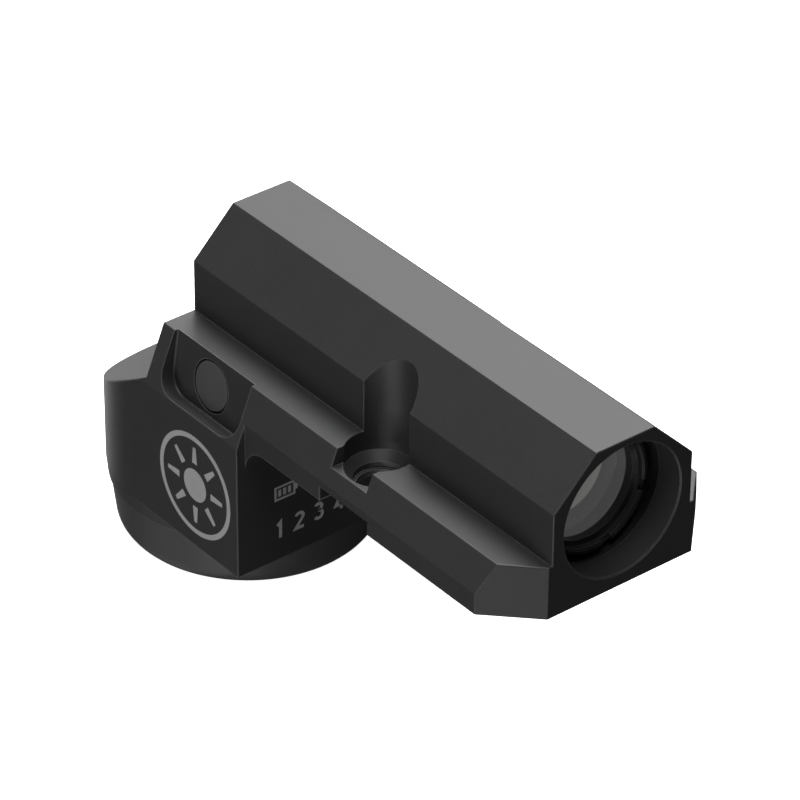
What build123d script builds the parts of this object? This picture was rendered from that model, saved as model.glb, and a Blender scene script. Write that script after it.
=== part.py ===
from build123d import *
import os

# Enclosed red dot finder, millimetres, +Z up.
# The optical axis runs along Y, with the objective at -Y and the eyepiece window at +Y.
# The origin is the middle of the mounting seat, which is the roof of the cross slot in the base.

# Tube and base: one extrusion along Y
TUBE_FRONT_Y = -19.45
TUBE_REAR_Y = 24.30
BORE_Z = 5.63
TOP_HALF = 2.77
TOP_Z = 11.89
SIDE_HALF = 6.68
SHOULDER_Z = 8.03
LEDGE_HALF = 9.68
LEDGE_Z = 3.51
CREASE_HALF = 10.82
CREASE_Z = 0.70
BASE_BOTTOM_Z = -1.18
FRONT_HALF = 7.00
EDGE_BREAK = 0.12
RIM_BREAK = 0.07
SEAT_Z = 0.0
SLOT_HALF = 2.88

# Mounting screw pockets
SCREW_X = 7.22
POCKET_R = 2.80
POCKET_CONE_TOP = 1.69
POCKET_CONE_BOTTOM = 0.98
POCKET_NECK_R = 2.12
POCKET_NECK_BOTTOM = 0.45
SCREW_HOLE_R = 1.85
NOTCH_HALF = 2.13
NOTCH_FLOOR_Z = 2.03

# Battery drum, round about a vertical axis behind the tube
DRUM_FRONT_Y = 12.25
DRUM_Y = 26.30
DRUM_R = 11.66
DRUM_BOTTOM_Z = -13.45
DRUM_FILLET = 2.3
DECK_Z = -0.95
DECK_SLOPE = 0.60
CONE_BOTTOM_Z = -14.80
CONE_R = 11.53

# Spaces inside the drum
CAP_BORE_R = 9.95
CAP_BORE_TOP = -12.40
BOARD_BORE_R = 9.40
BOARD_SEAT_Z = -10.90
CAVITY_R = 9.00
CAVITY_TOP = -2.30
CAVITY_REAR_TOP = -3.40

# Objective end
RECESS_R = 5.60
RECESS_DEPTH = 3.20
MOUTH_BEVEL = 0.10
UNDERCUT_R = 5.95
UNDERCUT_DEPTH = 2.45
RELIEF_DEPTH = 4.85
CELL_BORE_R = 5.20
CELL_R = 5.17
CELL_FRONT_Y = TUBE_FRONT_Y + RECESS_DEPTH
OBJECTIVE_TILT = 3.9
CELL_REAR_Y = -9.60
BAFFLE_REAR_Y = -8.80
LENS_R = 4.90
LENS_FRONT_Y = -14.60
LENS_JOIN_Y = -13.10
LENS_REAR_Y = -11.15
LENS_SAG = 0.55
CLEAR_R = 4.42
RING_FLANGE = 0.28
RING_RIM_R = 4.74
RING_STEP = 0.60
RING_BEVEL = 0.30
RING_SLOTS = 6
RING_SLOT_TURN = 47
BORE_R = 4.40
BORE_FLAT_HALF = 3.70

# Eyepiece end
WINDOW_BORE_R = 4.90
WINDOW_SEAT_Y = 21.70
WINDOW_FRONT_Y = 22.00
WINDOW_REAR_Y = 23.00
REAR_RING_REAR_Y = 23.80

# Intensity button, in a pocket on the -X side
BUTTON_Y = 18.02
BUTTON_Z = 0.77
BUTTON_R = 2.04
BUTTON_BORE_R = 2.19
BUTTON_ROUND = 0.08
BUTTON_TRAVEL = 0.40
BUTTON_CLEAR = 0.07
BUTTON_HEAD_X1 = -9.22
PAD_Y0 = 12.80
PAD_Y1 = 22.80
PAD_BOTTOM_Z = -1.20
PAD_CORNER = 1.90
PAD_TOP_X = -9.32
PAD_LEAN = 0.15
PAD_COVE = 0.15
STEM_R = 1.10
SEAL_X0 = -8.62
SEAL_X1 = -8.08
SEAL_R = 1.78
SWITCH_X0 = -7.75
SWITCH_X1 = -6.00
SWITCH_R = 1.85
FLEX_Y = 20.50
FLEX_THICK = 0.12

# Adjustment screws: M2 x 0.35, both captive
SCREW_R = 0.95
SHANK_HOLE_R = 1.05
HEAD_R = 1.70
HEAD_POCKET_R = 1.75
HEAD_H = 1.25
ADJUST_TRAVEL = 0.60
ELEVATION_Y = 28.30
ELEVATION_POCKET_Z = -5.30
ELEVATION_BOSS_Z = -7.00
WINDAGE_Y = 19.00
WINDAGE_Z = -5.00
WINDAGE_POCKET_X = 10.10
WINDAGE_RELIEF_X = 5.75
ELEVATION_SHANK = 4.9
WINDAGE_SHANK = 7.8
ELEVATION_WEB = 1.73
WINDAGE_WEB = WINDAGE_POCKET_X + 0.03 - WINDAGE_RELIEF_X
CLICK_R = 0.42
CLICK_DEPTH = 1.3
CLICK_OFFSET = 1.28

# Moving emitter stack
PLATE_TOP_Z = -8.20
PLATE_BOTTOM_Z = -9.30
SLIDE_TOP_Z = -7.00
PIN_X = 4.00
PIN_Y = 23.60
PIN_R = 0.60
PLATE_Y0 = 18.60
PLATE_Y1 = 30.40
POST_SLOT_HALF = 1.95
POST_SLOT_Y0 = 17.60
POST_SLOT_Y1 = 20.80

# Board fixings and purge port
LUG_X = 7.0
LUG_Y = 30.5
LUG_R = 1.3
PURGE_Y = 6.60

# Coin cell 1632, battery cap
CELL_1632_R = 8.00
CELL_1632_H = 3.20
CAP_BOTTOM_Z = -19.83
CAP_FLOOR_Z = -18.60
CAP_TOP_Z = -14.82
CAP_R = 11.38
CAP_DRAFT = 0.60
CAP_BOTTOM_ROUND = 1.70
CAP_SEAL_R = 10.45
CAP_GROOVE_HALF = 0.43
CAP_GROOVE_DEPTH = 0.74
CAP_NECK_R = 9.85
CAP_NECK_TOP = -12.85
CAP_INNER_R = 8.30


def along_y(points, y0, y1):
    """Prism of an X, Z outline from y0 to y1."""
    plane = Plane(origin=(0, y1, 0), x_dir=(1, 0, 0), z_dir=(0, -1, 0))
    return extrude(plane * make_face(Polyline(*points, close=True)), y1 - y0)


def along_x(points, x0, x1):
    """Prism of a Y, Z outline from x0 to x1."""
    plane = Plane(origin=(x0, 0, 0), x_dir=(0, 1, 0), z_dir=(1, 0, 0))
    return extrude(plane * make_face(Polyline(*points, close=True)), x1 - x0)


def block(x0, x1, y0, y1, z0, z1):
    """Box between two corners."""
    return Pos((x0 + x1) / 2, (y0 + y1) / 2, (z0 + z1) / 2) * Box(x1 - x0, y1 - y0, z1 - z0)


def rod_x(radius, x0, x1, y, z):
    return Pos((x0 + x1) / 2, y, z) * Rot(0, 90, 0) * Cylinder(radius, x1 - x0)


def rod_y(radius, y0, y1, x=0, z=BORE_Z):
    return Pos(x, (y0 + y1) / 2, z) * Rot(90, 0, 0) * Cylinder(radius, y1 - y0)


def rod_z(radius, z0, z1, x=0, y=DRUM_Y):
    return Pos(x, y, (z0 + z1) / 2) * Cylinder(radius, z1 - z0)


def turned_y(outline):
    """Solid of revolution about the optical axis, from a Y, radius outline."""
    plane = Plane(origin=(0, 0, BORE_Z), x_dir=(0, 1, 0), z_dir=(1, 0, 0))
    return revolve(plane * make_face(outline), Axis((0, 0, BORE_Z), (0, 1, 0)))


def turned_z(points, x=0, y=DRUM_Y):
    """Solid of revolution about a vertical axis, from a radius, Z outline."""
    plane = Plane(origin=(x, y, 0), x_dir=(1, 0, 0), z_dir=(0, -1, 0))
    return revolve(plane * make_face(Polyline(*points, close=True)), Axis((x, y, 0), (0, 0, 1)))


def coil(mean_r, wire_r, length, turns):
    """Round-wire compression spring along +Z from the origin."""
    path = Helix(pitch=(length - 2 * wire_r) / turns, height=length - 2 * wire_r, radius=mean_r)
    section = Plane(origin=path @ 0, z_dir=path % 0) * Circle(wire_r)
    return Pos(0, 0, wire_r) * sweep(section, path=path, is_frenet=True)


def side_z(x):
    """Height of the slanted side at a half-width."""
    slope = (CREASE_HALF - LEDGE_HALF) / (LEDGE_Z - CREASE_Z)
    return LEDGE_Z - (x - LEDGE_HALF) / slope


def deck_z(y):
    """Height of the sloping deck behind the eyepiece."""
    return DECK_Z - DECK_SLOPE * (y - TUBE_REAR_Y)


def mirrored(points):
    return points + [(-x, z) for x, z in reversed(points)]


# ---------------------------------------------------------------- housing

def upper_tube():
    half = [(SIDE_HALF, LEDGE_Z - 1), (SIDE_HALF, SHOULDER_Z), (TOP_HALF, TOP_Z)]
    return along_y(mirrored(half), TUBE_FRONT_Y, TUBE_REAR_Y)


def base():
    half = [(CREASE_HALF, BASE_BOTTOM_Z), (CREASE_HALF, CREASE_Z), (LEDGE_HALF, LEDGE_Z)]
    body = along_y(mirrored(half), TUBE_FRONT_Y, TUBE_REAR_Y)
    depth = CREASE_HALF - FRONT_HALF
    outer = CREASE_HALF + 1
    for side in (-1, 1):
        corner = [(side * FRONT_HALF, TUBE_FRONT_Y), (side * CREASE_HALF, TUBE_FRONT_Y + depth),
                  (side * outer, TUBE_FRONT_Y + depth), (side * outer, TUBE_FRONT_Y - 1),
                  (side * FRONT_HALF, TUBE_FRONT_Y - 1)]
        wedge = extrude(make_face(Polyline(*corner, close=True)), 20, both=True)
        body -= wedge
    return body


def drum():
    half = [(DRUM_R, DRUM_BOTTOM_Z), (DRUM_R, side_z(DRUM_R)), (LEDGE_HALF, LEDGE_Z)]
    body = along_y(mirrored(half), DRUM_FRONT_Y, DRUM_Y)
    body += rod_z(DRUM_R, DRUM_BOTTOM_Z, DECK_Z) & block(-20, 20, DRUM_Y, 40, -30, 10)
    over = [(TUBE_REAR_Y, DECK_Z), (40, deck_z(40)), (40, 5), (TUBE_REAR_Y, 5)]
    body -= along_x(over, -20, 20)
    foot = [(0, DRUM_BOTTOM_Z), (DRUM_R, DRUM_BOTTOM_Z), (CONE_R, CONE_BOTTOM_Z), (0, CONE_BOTTOM_Z)]
    return body + turned_z(foot)


def drum_fillet():
    y0 = DRUM_FRONT_Y - DRUM_FILLET
    z1 = BASE_BOTTOM_Z - DRUM_FILLET
    corner = block(-CREASE_HALF, CREASE_HALF, y0, DRUM_FRONT_Y + 0.5, z1, BASE_BOTTOM_Z + 0.5)
    return corner - rod_x(DRUM_FILLET, -12, 12, y0, z1)


def button_pad():
    """Tool for the pocket round the button: cut square to the slanted side, its floor more upright."""
    inward = Vector(LEDGE_Z - CREASE_Z, 0, LEDGE_HALF - CREASE_HALF).normalized()
    start = Vector(-LEDGE_HALF, (PAD_Y0 + PAD_Y1) / 2, LEDGE_Z) - inward * 3
    height = (LEDGE_Z - PAD_BOTTOM_Z) / inward.X
    outline = RectangleRounded(PAD_Y1 - PAD_Y0, 2 * height, PAD_CORNER)
    prism = extrude(Plane(origin=start, x_dir=(0, 1, 0), z_dir=inward) * outline, 8)
    top = LEDGE_Z + 2
    floor = [(-15, -4), (pad_floor_x(-4), -4), (pad_floor_x(top), top), (-15, top)]
    tool = prism & along_y(floor, PAD_Y0 - 1, PAD_Y1 + 1)
    rim = [e for e in tool.edges() if on_pad_floor(e) and e.position_at(0.5).Z < top - 0.1]
    return fillet(rim, PAD_COVE)


def pad_floor_x(z):
    """Depth of the pocket floor at a height."""
    return PAD_TOP_X - PAD_LEAN * (LEDGE_Z - z)


def on_pad_floor(edge):
    ends = [edge.position_at(0), edge.position_at(0.5), edge.position_at(1)]
    return all(abs(p.X - pad_floor_x(p.Z)) < 0.001 for p in ends)


def screw_pocket(side):
    """Stepped pocket for one mounting screw, with the notch that opens it to the side."""
    profile = [(0, -3), (SCREW_HOLE_R, -3), (SCREW_HOLE_R, POCKET_NECK_BOTTOM),
               (POCKET_NECK_R, POCKET_NECK_BOTTOM), (POCKET_NECK_R, POCKET_CONE_BOTTOM),
               (POCKET_R, POCKET_CONE_TOP), (POCKET_R, TOP_Z + 1), (0, TOP_Z + 1)]
    tool = turned_z(profile, side * SCREW_X, 0)
    x0, x1 = sorted((side * SCREW_X, side * (CREASE_HALF + 1)))
    return tool + block(x0, x1, -NOTCH_HALF, NOTCH_HALF, NOTCH_FLOOR_Z, TOP_Z)


def tilted(shape):
    """Leans a shape of the objective forward at its foot, so that the lens looks down at the emitter."""
    pivot = Pos(0, CELL_FRONT_Y, BORE_Z)
    return pivot * Rot(-OBJECTIVE_TILT, 0, 0) * pivot.inverse() * shape


def bore_tools():
    """Recess with its bevelled mouth and thread undercut, the leaning cell bore, and the light path."""
    front = TUBE_FRONT_Y
    relief_y = front + RELIEF_DEPTH
    tools = rod_y(RECESS_R, front - 1, relief_y)
    mouth = [(front - 1, 0), (front - 1, RECESS_R + 1 + MOUTH_BEVEL), (front + MOUTH_BEVEL, RECESS_R),
             (front + MOUTH_BEVEL, 0)]
    tools += turned_y(Polyline(*mouth, close=True))
    tools += rod_y(UNDERCUT_R, front + UNDERCUT_DEPTH, relief_y)
    tools += tilted(rod_y(CELL_BORE_R, relief_y - 0.5, BAFFLE_REAR_Y))
    flats = block(-BORE_FLAT_HALF, BORE_FLAT_HALF, BAFFLE_REAR_Y - 0.5, 15, -10, 20)
    tools += rod_y(BORE_R, BAFFLE_REAR_Y - 0.5, 15) & flats
    tools += rod_y(BORE_R, 14.9, WINDOW_SEAT_Y + 0.1)
    tools += rod_y(WINDOW_BORE_R, WINDOW_SEAT_Y, TUBE_REAR_Y + 1)
    return tools


def drum_tools():
    tools = rod_z(CAP_BORE_R, -15, CAP_BORE_TOP)
    tools += rod_z(BOARD_BORE_R, CAP_BORE_TOP - 0.1, BOARD_SEAT_Z)
    cavity = rod_z(CAVITY_R, BOARD_SEAT_Z - 0.1, CAVITY_TOP)
    y1 = 40
    over = [(TUBE_REAR_Y - 3, CAVITY_REAR_TOP + 3 * DECK_SLOPE),
            (y1, CAVITY_REAR_TOP - DECK_SLOPE * (y1 - TUBE_REAR_Y)), (y1, 5), (TUBE_REAR_Y - 3, 5)]
    cavity -= along_x(over, -20, 20)
    cavity -= rod_z(2.6, ELEVATION_BOSS_Z, 0, 0, ELEVATION_Y)
    for side in (-1, 1):
        cavity -= rod_z(LUG_R, BOARD_SEAT_Z, 0, side * LUG_X, LUG_Y)
        cavity += rod_z(0.65, BOARD_SEAT_Z - 0.1, -8.0, side * LUG_X, LUG_Y)
        cavity += rod_z(PIN_R, CAVITY_TOP - 1.4, CAVITY_TOP + 0.6, side * PIN_X, PIN_Y)
    return tools + cavity


def screw_tools():
    """Stepped holes for the elevation and windage screws and their click balls."""
    tools = rod_z(HEAD_POCKET_R, ELEVATION_POCKET_Z, 0, 0, ELEVATION_Y)
    tools += rod_z(SHANK_HOLE_R, -11, 0, 0, ELEVATION_Y) & block(-3, 3, 25, 32, -9, -3)
    z0 = ELEVATION_POCKET_Z - CLICK_DEPTH
    tools += rod_z(CLICK_R, z0, ELEVATION_POCKET_Z + 0.1, CLICK_OFFSET, ELEVATION_Y)
    tools += rod_x(HEAD_POCKET_R, WINDAGE_POCKET_X, 13, WINDAGE_Y, WINDAGE_Z)
    tools += rod_x(SHANK_HOLE_R, 4, 11, WINDAGE_Y, WINDAGE_Z)
    tools += block(1.9, WINDAGE_RELIEF_X, 17.2, 21.8, WINDAGE_Z - 1.9, WINDAGE_Z + 1.9)
    x1 = WINDAGE_POCKET_X + 0.1
    tools += rod_x(CLICK_R, WINDAGE_POCKET_X - CLICK_DEPTH, x1, WINDAGE_Y, WINDAGE_Z + CLICK_OFFSET)
    return tools


def button_tools():
    x0 = pad_floor_x(BUTTON_Z - BUTTON_BORE_R) - 0.3
    tools = rod_x(BUTTON_BORE_R, x0, BUTTON_HEAD_X1 + BUTTON_TRAVEL + BUTTON_CLEAR, BUTTON_Y, BUTTON_Z)
    tools += rod_x(STEM_R + 0.06, -10, SWITCH_X0, BUTTON_Y, BUTTON_Z)
    tools += rod_x(SEAL_R, SEAL_X0, SEAL_X1, BUTTON_Y, BUTTON_Z)
    tools += rod_x(SWITCH_R, SWITCH_X0, SWITCH_X1, BUTTON_Y, BUTTON_Z)
    tools += block(SWITCH_X1 - 0.9, SWITCH_X1, BUTTON_Y - 0.7, FLEX_Y + 0.7, CAVITY_TOP - 0.1, BUTTON_Z - 0.8)
    return tools


def outside_corners(body):
    """Sharp edges whose two faces turn away from each other, so that they stand out of the solid."""
    found = []
    solid = body.solid()
    for edge in body.edges():
        middle = edge.position_at(0.5)
        normals = [f.normal_at(middle) for f in body.faces() if any(edge.is_same(g) for g in f.edges())]
        if len(normals) != 2 or normals[0].dot(normals[1]) > 0.995:
            continue
        if not solid.is_inside(middle + (normals[0] - normals[1]) * 0.02):
            found.append(edge)
    return found


def can_be_broken(edge):
    """All outer edges, but not those beside the drum's concave fillet or round the drum's foot."""
    p = edge.position_at(0.5)
    at_base_rim = abs(p.X) > CREASE_HALF - 0.01 and p.Z < BASE_BOTTOM_Z + 0.01
    beside_fillet = at_base_rim and SLOT_HALF < p.Y < DRUM_FRONT_Y
    at_foot = p.Z < DRUM_BOTTOM_Z + 0.01 and p.Y > DRUM_FRONT_Y + 0.1
    return not beside_fillet and not at_foot


def at_screw_pocket(edge):
    p = edge.position_at(0.5)
    return abs(p.Y) < POCKET_R and p.Z > NOTCH_FLOOR_Z - 0.01


def housing_shell():
    """Outside of the housing with its edges broken, the mounting slot and the screw pockets."""
    body = upper_tube() + base() + drum() + drum_fillet()
    body -= block(-15, 15, -SLOT_HALF, SLOT_HALF, BASE_BOTTOM_Z - 1, SEAT_Z)
    body = fillet([e for e in outside_corners(body) if can_be_broken(e)], EDGE_BREAK)
    for side in (-1, 1):
        body -= screw_pocket(side)
    body = fillet([e for e in outside_corners(body) if at_screw_pocket(e)], RIM_BREAK)
    return body - button_pad()


def main_housing():
    body = housing_shell()
    body -= bore_tools()
    body -= drum_tools()
    body -= screw_tools()
    body -= button_tools()
    slot_top = BORE_Z - BORE_R + 1.2
    body -= block(-POST_SLOT_HALF, POST_SLOT_HALF, POST_SLOT_Y0, POST_SLOT_Y1, CAVITY_TOP - 0.1, slot_top)
    body -= rod_z(1.10, BASE_BOTTOM_Z - 1, BORE_Z - BORE_R + 0.3, 0, PURGE_Y)
    return body


# ---------------------------------------------------------------- optics


def objective_cell():
    body = rod_y(CELL_R, CELL_FRONT_Y + RING_FLANGE, CELL_REAR_Y)
    body -= rod_y(LENS_R + 0.03, CELL_FRONT_Y - 1, LENS_REAR_Y + 0.06)
    return body - rod_y(CLEAR_R, CELL_FRONT_Y, CELL_REAR_Y + 1)


def objective_retaining_ring():
    """Flanged ring in the cell: sloping rim, deep step, bevel, and spanner slots through the rim."""
    y0 = CELL_FRONT_Y
    y1 = LENS_FRONT_Y - 0.02
    step = y0 + RING_STEP
    seat = y0 + RING_FLANGE - 0.01
    outline = [(y0 + 0.12, RING_RIM_R), (y0, RING_RIM_R + 0.14), (y0, CELL_R - 0.06), (y0 + 0.06, CELL_R),
               (seat, CELL_R), (seat, LENS_R), (y1, LENS_R), (y1, CLEAR_R), (step + RING_BEVEL, CLEAR_R),
               (step, RING_RIM_R)]
    ring = turned_y(Polyline(*outline, close=True))
    for turn in range(RING_SLOTS):
        angle = 360 / RING_SLOTS * turn + RING_SLOT_TURN
        ring -= Pos(0, 0, BORE_Z) * Rot(0, angle, 0) * Pos(0, y0, LENS_R) * Box(0.9, 0.8, 1.6)
    return ring


def lens_outline(y0, sag0, y1, sag1):
    """Half section of a lens: sag is how far the middle of a face stands towards +Y."""
    top0 = (y0, LENS_R)
    top1 = (y1, LENS_R)
    axis0 = (y0 + sag0, 0)
    axis1 = (y1 + sag1, 0)
    face0 = sagged_line(top0, axis0)
    face1 = sagged_line(axis1, top1)
    return [face0, Line(axis0, axis1), face1, Line(top1, top0)]


def sagged_line(a, b):
    """Arc of a sphere centred on the axis, through a rim point and an axis point."""
    if abs(a[0] - b[0]) < 1e-6:
        return Line(a, b)
    rim, pole = (a, b) if a[1] > b[1] else (b, a)
    sag = rim[0] - pole[0]
    radius = (LENS_R ** 2 + sag ** 2) / (2 * sag)
    half = LENS_R / 2
    mid_x = pole[0] + radius - (1 if radius > 0 else -1) * (radius ** 2 - half ** 2) ** 0.5
    return ThreePointArc(a, (mid_x, half), b)


def objective_front_element():
    return turned_y(Wire(lens_outline(LENS_FRONT_Y, 0.25, LENS_JOIN_Y, LENS_SAG)))


def objective_rear_element():
    return turned_y(Wire(lens_outline(LENS_JOIN_Y + 0.01, LENS_SAG, LENS_REAR_Y, 0.30)))


def ring_y(outer, inner, y0, y1):
    return rod_y(outer, y0, y1) - rod_y(inner, y0 - 1, y1 + 1)


def objective_seal():
    return ring_y(CELL_R, CLEAR_R, CELL_REAR_Y + 0.01, BAFFLE_REAR_Y - 0.51)


def light_baffle():
    """Black stop plate behind the objective, with the same flats as the bore."""
    disc = rod_y(CELL_R, BAFFLE_REAR_Y - 0.5, BAFFLE_REAR_Y - 0.01)
    hole = rod_y(BORE_R, -12, 0) & block(-BORE_FLAT_HALF, BORE_FLAT_HALF, -12, 0, -5, 20)
    return disc - hole


def rear_window():
    return rod_y(WINDOW_BORE_R - 0.05, WINDOW_FRONT_Y, WINDOW_REAR_Y)


def rear_window_seal():
    return ring_y(WINDOW_BORE_R - 0.05, BORE_R, WINDOW_SEAT_Y + 0.01, WINDOW_FRONT_Y - 0.01)


def rear_retaining_ring():
    ring = ring_y(WINDOW_BORE_R - 0.02, 4.25, WINDOW_REAR_Y + 0.01, REAR_RING_REAR_Y)
    for turn in range(4):
        slot = Rot(0, 90 * turn + 45, 0) * Pos(0, REAR_RING_REAR_Y, 4.7) * Box(0.9, 0.8, 1.2)
        ring -= Pos(0, 0, BORE_Z) * slot
    return ring


def purge_screw():
    """Grub screw that closes the purge port, with a hexagon socket."""
    body = rod_z(1.08, BASE_BOTTOM_Z + 0.15, BORE_Z - BORE_R - 0.15, 0, PURGE_Y)
    socket = Pos(0, PURGE_Y, BASE_BOTTOM_Z) * extrude(RegularPolygon(0.5, 6), 1.1)
    return body - socket


# ---------------------------------------------------------------- button

def intensity_button():
    """Round button: its face leans like the pocket floor and lies flush with it, its rim rounded."""
    head = rod_x(BUTTON_R, -12, BUTTON_HEAD_X1, BUTTON_Y, BUTTON_Z)
    keep = along_y([(pad_floor_x(-4), -4), (-5, -4), (-5, 6), (pad_floor_x(6), 6)], 10, 25)
    head &= keep
    head = fillet([e for e in head.edges() if on_pad_floor(e)], BUTTON_ROUND)
    stem = rod_x(STEM_R, BUTTON_HEAD_X1 - 0.1, SWITCH_X0 + 0.02, BUTTON_Y, BUTTON_Z)
    return head + stem


def button_seal():
    body = rod_x(SEAL_R - 0.02, SEAL_X0 + 0.02, SEAL_X1 - 0.02, BUTTON_Y, BUTTON_Z)
    return body - rod_x(STEM_R + 0.02, -10, -7, BUTTON_Y, BUTTON_Z)


def dome_switch():
    base_x = SWITCH_X1 - 0.75
    body = block(base_x - 0.45, base_x, BUTTON_Y - 1.2, BUTTON_Y + 1.2, BUTTON_Z - 1.2, BUTTON_Z + 1.2)
    return body + rod_x(0.75, base_x - 0.56, base_x - 0.4, BUTTON_Y, BUTTON_Z)


def switch_board():
    base_x = SWITCH_X1 - 0.75
    return rod_x(SWITCH_R - 0.05, base_x + 0.01, base_x + 0.35, BUTTON_Y, BUTTON_Z)


def switch_flex():
    """Printed ribbon from the switch down towards the main board."""
    x1 = SWITCH_X1 - 0.15
    across = block(x1 - FLEX_THICK, x1, BUTTON_Y - 0.5, FLEX_Y + 0.4, CAVITY_TOP + 0.6, BUTTON_Z - 0.9)
    down = block(x1 - FLEX_THICK, x1, FLEX_Y - 0.4, FLEX_Y + 0.4, BOARD_SEAT_Z + 0.02, CAVITY_TOP + 0.7)
    return across + down


# ---------------------------------------------------------------- emitter and its two slides

def guide_pins():
    z1 = CAVITY_TOP - 1.4
    pins = [rod_z(PIN_R - 0.02, PLATE_BOTTOM_Z - 0.7, z1 + 1.8, side * PIN_X, PIN_Y) for side in (-1, 1)]
    return Compound(children=pins)


def elevation_carriage():
    """Plate that rides on the guide pins, carries the windage rib and ends in the elevation nut."""
    plate = block(-4.9, 4.9, PLATE_Y0 + 1.2, 25.2, PLATE_BOTTOM_Z, PLATE_TOP_Z)
    plate += block(-2.2, 2.2, 25, PLATE_Y1, PLATE_BOTTOM_Z, PLATE_TOP_Z)
    plate += block(-4.4, 4.6, 19.9, 20.5, PLATE_TOP_Z - 0.1, PLATE_TOP_Z + 0.5)
    plate += block(-5.1, -4.5, 19.9, 21.6, PLATE_BOTTOM_Z, PLATE_TOP_Z + 1.4)
    for side in (-1, 1):
        plate -= rod_z(PIN_R + 0.05, -12, 0, side * PIN_X, PIN_Y)
    return plate - rod_z(SCREW_R + 0.06, -12, -7, 0, ELEVATION_Y)


def windage_slide():
    """Slide on the carriage rib: its post lifts the emitter into the foot of the bore."""
    body = block(-3.0, 4.05, 19.3, 21.6, PLATE_TOP_Z + 0.05, SLIDE_TOP_Z)
    body -= block(-6, 6, 19.84, 20.56, PLATE_TOP_Z - 1, PLATE_TOP_Z + 0.56)
    body += block(-1.0, 1.0, 19.3, 20.1, SLIDE_TOP_Z - 0.1, 1.85)
    return body + block(3.45, 4.05, 20.4, 21.6, SLIDE_TOP_Z - 0.1, -3.4)


def windage_yoke():
    """Nut on the windage screw: its fork pushes the slide sideways and lets it rise and fall."""
    body = block(2.8, 4.6, 17.9, 21.5, WINDAGE_Z - 1.15, WINDAGE_Z + 1.15)
    body -= block(3.4, 4.1, 20.3, 22, -8, -2)
    return body - rod_x(SCREW_R + 0.06, 0, 8, WINDAGE_Y, WINDAGE_Z)


def emitter_board():
    return block(-0.9, 0.9, 19.0, 19.28, -1.2, 1.95)


def emitter_led():
    body = block(-0.55, 0.55, 18.55, 18.98, 0.75, 1.75)
    return body + rod_y(0.28, 18.40, 18.56, 0, 1.25)


def emitter_flex():
    return block(-0.6, 0.6, 18.78, 18.90, BOARD_SEAT_Z + 0.02, -0.9)


def elevation_spring():
    top = CAVITY_TOP - 1.0
    return Pos(-PIN_X, PIN_Y, PLATE_TOP_Z + 0.02) * coil(0.95, 0.14, top - PLATE_TOP_Z - 0.9, 6)


def windage_spring():
    return Pos(-4.48, 21.0, -7.60) * Rot(0, 90, 0) * coil(0.36, 0.09, 1.44, 4)


def adjustment_screw(length):
    """Screw along +Z with its head's underside at z = 0: slotted head, seal groove, clip groove."""
    head = Cylinder(HEAD_R, HEAD_H, align=(Align.CENTER, Align.CENTER, Align.MIN))
    head -= Pos(0, 0, 0.62) * (Cylinder(HEAD_R + 1, 0.42) - Cylinder(HEAD_R - 0.36, 0.42))
    head -= Pos(0, 0, HEAD_H) * Box(4, 0.5, 0.9)
    shank = Cylinder(SCREW_R, length, align=(Align.CENTER, Align.CENTER, Align.MAX))
    return head + shank


def screw_seal():
    return Pos(0, 0, 0.62) * (Cylinder(HEAD_R + 0.02, 0.36) - Cylinder(HEAD_R - 0.34, 0.36))


def screw_clip(depth):
    """Open retaining clip below the housing web."""
    clip = Cylinder(1.55, 0.35) - Cylinder(SCREW_R + 0.01, 0.35) - Pos(0, -1.2, 0) * Box(1.0, 1.6, 1)
    return Pos(0, 0, -depth - 0.2) * clip


def click_ball():
    return Pos(CLICK_OFFSET, 0, -0.40) * Sphere(0.38)


def click_spring():
    return Pos(CLICK_OFFSET, 0, -CLICK_DEPTH + 0.01) * coil(0.28, 0.06, 0.48, 2.5)


def at_elevation(shape):
    return Pos(0, ELEVATION_Y, ELEVATION_POCKET_Z + 0.03) * shape


def at_windage(shape):
    turn = Plane(origin=(WINDAGE_POCKET_X + 0.03, WINDAGE_Y, WINDAGE_Z), x_dir=(0, 0, 1), z_dir=(1, 0, 0))
    return turn.location * shape


# ---------------------------------------------------------------- electronics and battery


def main_board():
    board = rod_z(BOARD_BORE_R - 0.06, BOARD_SEAT_Z - 0.8, BOARD_SEAT_Z - 0.01)
    for side in (-1, 1):
        board -= rod_z(0.7, -13, -10, side * LUG_X, LUG_Y)
    return board


def controller_chip():
    return block(-1.6, 1.6, 31.4, 34.0, BOARD_SEAT_Z, BOARD_SEAT_Z + 0.7)


def board_capacitors():
    spots = [(-3.6, 32.0), (3.6, 32.0), (-6.6, 26.5), (6.6, 26.5)]
    parts = [block(x - 0.4, x + 0.4, y - 0.8, y + 0.8, BOARD_SEAT_Z, BOARD_SEAT_Z + 0.6) for x, y in spots]
    return Compound(children=parts)


def board_screws():
    z_head = BOARD_SEAT_Z - 0.81
    parts = []
    for side in (-1, 1):
        screw = rod_z(0.6, z_head, -8.3, side * LUG_X, LUG_Y)
        screw += rod_z(1.1, z_head - 0.5, z_head, side * LUG_X, LUG_Y)
        screw -= block(side * LUG_X - 0.8, side * LUG_X + 0.8, LUG_Y - 0.15, LUG_Y + 0.15, -13, z_head - 0.25)
        parts.append(screw)
    return Compound(children=parts)


def ground_lug():
    """Brass tab on the board that bears on the housing."""
    return block(-8.2, -6.4, 23.8, 25.0, BOARD_SEAT_Z, BOARD_SEAT_Z + 0.25)


def battery_insulator():
    sheet = rod_z(BOARD_BORE_R - 0.1, -12.75, -12.45)
    return sheet - rod_z(3.2, -14, -12)


def cell_contact_spring():
    """Conical spring from the board to the top of the cell."""
    z0 = CAP_FLOOR_Z + CELL_1632_H + 0.07
    z1 = BOARD_SEAT_Z - 0.82
    return Pos(0, DRUM_Y, z0) * coil(2.2, 0.2, z1 - z0, 3.5)


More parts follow.
